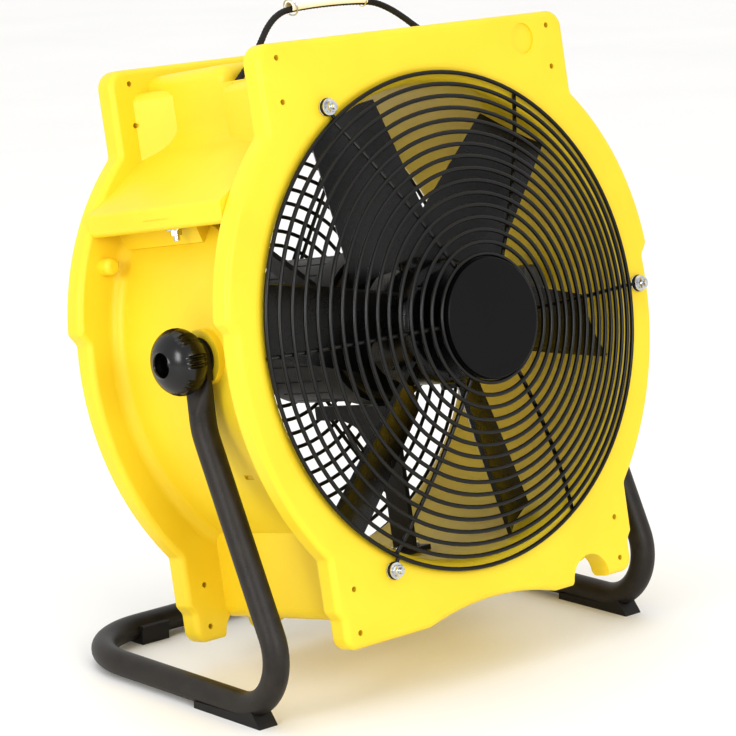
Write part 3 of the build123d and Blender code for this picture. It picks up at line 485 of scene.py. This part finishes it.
rope = {
    "thick": 6.0,
    "hinge": (95.0, 250.0),     # mm in the head, the holes that it comes out of
    "lean": 20.0,               # degrees back from upright
    "points": [             # mm across the head, and mm up the lean from the holes
        (-153, -3), (-116, 22), (-72, 67), (-30, 71.5), (30, 71.5), (72, 67), (116, 22), (153, -3)],
    "length": 0.357,
    "strands": 8,               # each way round
    "lay": 17.0,                # mm of rope to one turn of a strand
    "strand": 0.6,              # mm, radius of a strand
    "core": 2.4,
}
grip = {
    "half": 49.0,
    "outer": 6.4,
    "wall": 1.3,
    "drop": 2.2,                # mm that the hose hangs below the rope's line
    "slit": 120,                # degrees left open along its top
    "lean": 28,                 # degrees that the slit is turned forwards
    "ring": (8.2, 0.8),         # loose wire ring at the left end
    "band": (7.0, 1.6),         # crimped band at the right end
}


def ropePoint(x, up):
    lean = math.radians(rope["lean"])
    back, high = rope["hinge"]
    return headMatrix @ Vector((x, back + up * math.sin(lean), high + up * math.cos(lean)))


def ropeCurve(name, depth):
    curve = bpy.data.curves.new(name, "CURVE")
    curve.dimensions = "3D"
    curve.resolution_u = 24
    curve.bevel_depth = depth
    curve.bevel_resolution = 6
    curve.use_fill_caps = True
    spline = curve.splines.new("NURBS")
    spline.points.add(len(rope["points"]) - 1)
    for point, (x, up) in zip(spline.points, rope["points"]):
        point.co = (*ropePoint(x, up), 1)
    spline.order_u = 3
    spline.use_endpoint_u = True
    piece = bpy.data.objects.new(name, curve)
    bpy.context.scene.collection.objects.link(piece)
    return piece


def ropeLine(gap):
    # points along the rope's spline, gap metres apart
    bare = ropeCurve("bareRope", 0)
    bare.data.use_fill_caps = False
    mesh = bpy.data.meshes.new_from_object(bare)
    line = [v.co.copy() for v in mesh.vertices]
    bpy.data.objects.remove(bare)
    bpy.data.meshes.remove(mesh)
    runs = [0.0]
    for a, b in zip(line, line[1:]):
        runs.append(runs[-1] + (b - a).length)
    count = round(runs[-1] / gap)
    points = []
    at = 0
    for i in range(count + 1):
        along = runs[-1] * i / count
        while at < len(line) - 2 and runs[at + 1] < along:
            at += 1
        share = (along - runs[at]) / (runs[at + 1] - runs[at])
        points.append(line[at].lerp(line[at + 1], share))
    return points, runs[-1]


def ropeFrames(points):
    # tangent and two sides at each point; the bow is flat, so one side is the same all along
    flat = (ropePoint(0, 60) - ropePoint(0, 0)).cross(ropePoint(60, 0) - ropePoint(0, 0)).normalized()
    frames = []
    for i, point in enumerate(points):
        ahead = points[min(i + 1, len(points) - 1)] - points[max(i - 1, 0)]
        ahead.normalize()
        frames.append((point, ahead, flat, flat.cross(ahead).normalized()))
    return frames


def makeStrands(points, length):
    # two sets of strands wound opposite ways, each strand passing over and under the others in turn
    curve = bpy.data.curves.new("ropeStrands", "CURVE")
    curve.dimensions = "3D"
    curve.bevel_depth = rope["strand"] * mm
    curve.bevel_resolution = 0
    curve.resolution_u = 1
    frames = ropeFrames(points)
    for way in (-1, 1):
        for number in range(rope["strands"]):
            spline = curve.splines.new("POLY")
            spline.points.add(len(frames) - 1)
            for i, (centre, ahead, side, up) in enumerate(frames):
                turns = length * i / (len(frames) - 1) / (rope["lay"] * mm)
                turn = 2 * math.pi * (way * turns + number / rope["strands"])
                weave = math.cos(2 * math.pi * turns * rope["strands"] + number * math.pi) * way
                out = (rope["core"] + 0.1 + 0.25 * weave) * mm
                spline.points[i].co = (*(centre + out * (side * math.sin(turn) + up * math.cos(turn))), 1)
    piece = bpy.data.objects.new("ropeStrands", curve)
    bpy.context.scene.collection.objects.link(piece)
    curve.materials.append(finishes["cord"])
    return piece


def nearX(frames, x):
    return min(frames, key=lambda f: abs(f[0].x - x * mm))


def makeHose(frames):
    # a slit hose: the rope pulls up into the slit, and the hose hangs round it
    inside = [f for f in frames if abs(f[0].x) <= grip["half"] * mm]
    bm = bmesh.new()
    bmesh.ops.create_grid(bm, x_segments=48, y_segments=40, size=1)
    for vert in bm.verts:
        centre, ahead, side, up = inside[round((vert.co.x + 1) / 2 * (len(inside) - 1))]
        turn = math.pi + vert.co.y * (math.pi - math.radians(grip["slit"] / 2))
        turn += math.radians(grip["lean"])
        middle = centre - up * grip["drop"] * mm
        vert.co = middle + grip["outer"] * mm * (side * math.sin(turn) + up * math.cos(turn))
    piece = keepMesh(bm, "gripHose", "handle", "hose", "grip_sleeve", 40)
    wall = piece.modifiers.new("wall", "SOLIDIFY")
    wall.thickness = grip["wall"] * mm
    wall.offset = -1
    rim = piece.modifiers.new("rim", "BEVEL")
    rim.width = 0.35 * mm
    rim.segments = 3
    return piece


def makeGripRings(frames):
    # a loose split ring round the left end, a crimped band round the right one
    wide, thick = grip["ring"]
    ring = bmesh.new()
    bmesh.ops.create_circle(ring, segments=10, radius=thick, matrix=Matrix.Translation((0, 0, wide)))
    bmesh.ops.rotate(ring, cent=(0, 0, wide), matrix=Matrix.Rotation(math.pi / 2, 3, "X"), verts=ring.verts)
    bmesh.ops.spin(ring, geom=ring.verts[:] + ring.edges[:], cent=(0, 0, 0), axis=(1, 0, 0),
                   angle=2 * math.pi, steps=48, use_merge=True)
    band = bmesh.new()
    addRing(band, grip["band"][0], grip["outer"] + 0.05, -grip["band"][1] / 2, grip["band"][1] / 2, 0.3)
    for bm, x, tip in ((ring, -grip["half"] + 3, 14), (band, grip["half"] - 3, 0)):
        centre, ahead, side, up = nearX(frames, x)
        axes = Matrix((ahead, side, up)).transposed().to_4x4()
        middle = centre - up * grip["drop"] * mm
        bmesh.ops.transform(bm, verts=bm.verts, matrix=Matrix.Translation(middle) @ axes
                            @ Matrix.Rotation(math.radians(tip), 4, "Y") @ Matrix.Scale(mm, 4))
    return keepMesh(joined([ring, band]), "gripRings", "handle", "zinc", "grip_rings", 50)


core = ropeCurve("ropeHandle", rope["core"] * mm)
core.data.materials.append(finishes["cord"])
linePoints, lineLength = ropeLine(0.53 * mm)
strands = makeStrands(linePoints, lineLength)
for piece in (core, strands):
    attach(piece, "handle")
    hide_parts("rope_handle")
ropeSteps = ropeFrames(linePoints)
hose = makeHose(ropeSteps)
gripRings = makeGripRings(ropeSteps)
print("rope handle made, line", round(lineLength, 4), "m")


# ---- floor, lights and camera ----

studio = {
    "floorSize": 14.0,
    "floorColour": "#F4F3F1",
    "worldColour": "#FFFFFF",
    "worldStrength": 0.9,
    "look": "Medium High Contrast",
    "lightAim": (0, 0, 0.3),
}
lights = {                  # place, size in metres, power in watts
    "keyLight": ((-1.1, -3.4, 1.5), (1.5, 1.1), 38),
    "topLight": ((-0.4, 0.2, 3.2), (2.4, 2.4), 12),
    "sideLight": ((-3.0, -0.5, 1.2), (0.8, 1.1), 26),
}


def layFloor():
    bm = bmesh.new()
    bmesh.ops.create_circle(bm, cap_ends=True, segments=96, radius=studio["floorSize"])
    mesh = bpy.data.meshes.new("floor")
    bm.to_mesh(mesh)
    bm.free()
    floor = bpy.data.objects.new("floor", mesh)
    bpy.context.scene.collection.objects.link(floor)
    material, surface, place = startMaterial("paintedFloor", {"Roughness": 0.6})
    drift = addNode(material, "ShaderNodeTexNoise", {"Scale": 2.0}, {"Vector": (place, "Object")})
    tint = addNode(material, "ShaderNodeValToRGB", links={"Fac": (drift, "Fac")})
    setStops(tint, [(0.3, hexColour("#F1F0EE")), (0.7, hexColour(studio["floorColour"]))])
    feed(material, surface, {"Base Color": (tint, "Color")})
    mesh.materials.append(material)


def hangLight(name, place, aim, size, power):
    lamp = bpy.data.lights.new(name, "AREA")
    lamp.shape = "RECTANGLE"
    lamp.size, lamp.size_y = size
    lamp.energy = power
    light = bpy.data.objects.new(name, lamp)
    light.location = place
    light.rotation_euler = (Vector(aim) - Vector(place)).to_track_quat("-Z", "Y").to_euler()
    bpy.context.scene.collection.objects.link(light)


def setWorld():
    world = bpy.data.worlds.new("studio")
    world.use_nodes = True
    back = world.node_tree.nodes["Background"]
    back.inputs["Color"].default_value = hexColour(studio["worldColour"])
    back.inputs["Strength"].default_value = studio["worldStrength"]
    bpy.context.scene.world = world
    bpy.context.scene.view_settings.view_transform = "Standard"   # keeps the yellow clean
    bpy.context.scene.view_settings.look = studio["look"]


cameraSet = {
    "place": (-1.9496, -2.1781, 0.9019),
    "aim": (-0.0351, -0.0452, 0.2932),
    "roll": -1.586,         # degrees
    "lens": 148.1,          # mm on a 36 mm square frame
}


def placeCamera():
    data = bpy.data.cameras.new("camera")
    data.sensor_width = 36
    data.lens = cameraSet["lens"]
    camera = bpy.data.objects.new("camera", data)
    place = Vector(cameraSet["place"])
    look = (Vector(cameraSet["aim"]) - place).to_track_quat("-Z", "Y").to_matrix().to_4x4()
    roll = Matrix.Rotation(math.radians(cameraSet["roll"]), 4, "Z")
    camera.matrix_world = Matrix.Translation(place) @ look @ roll
    bpy.context.scene.collection.objects.link(camera)
    bpy.context.scene.camera = camera


layFloor()
setWorld()
for name, (place, size, power) in lights.items():
    hangLight(name, place, studio["lightAim"], size, power)
placeCamera()
print("studio set")
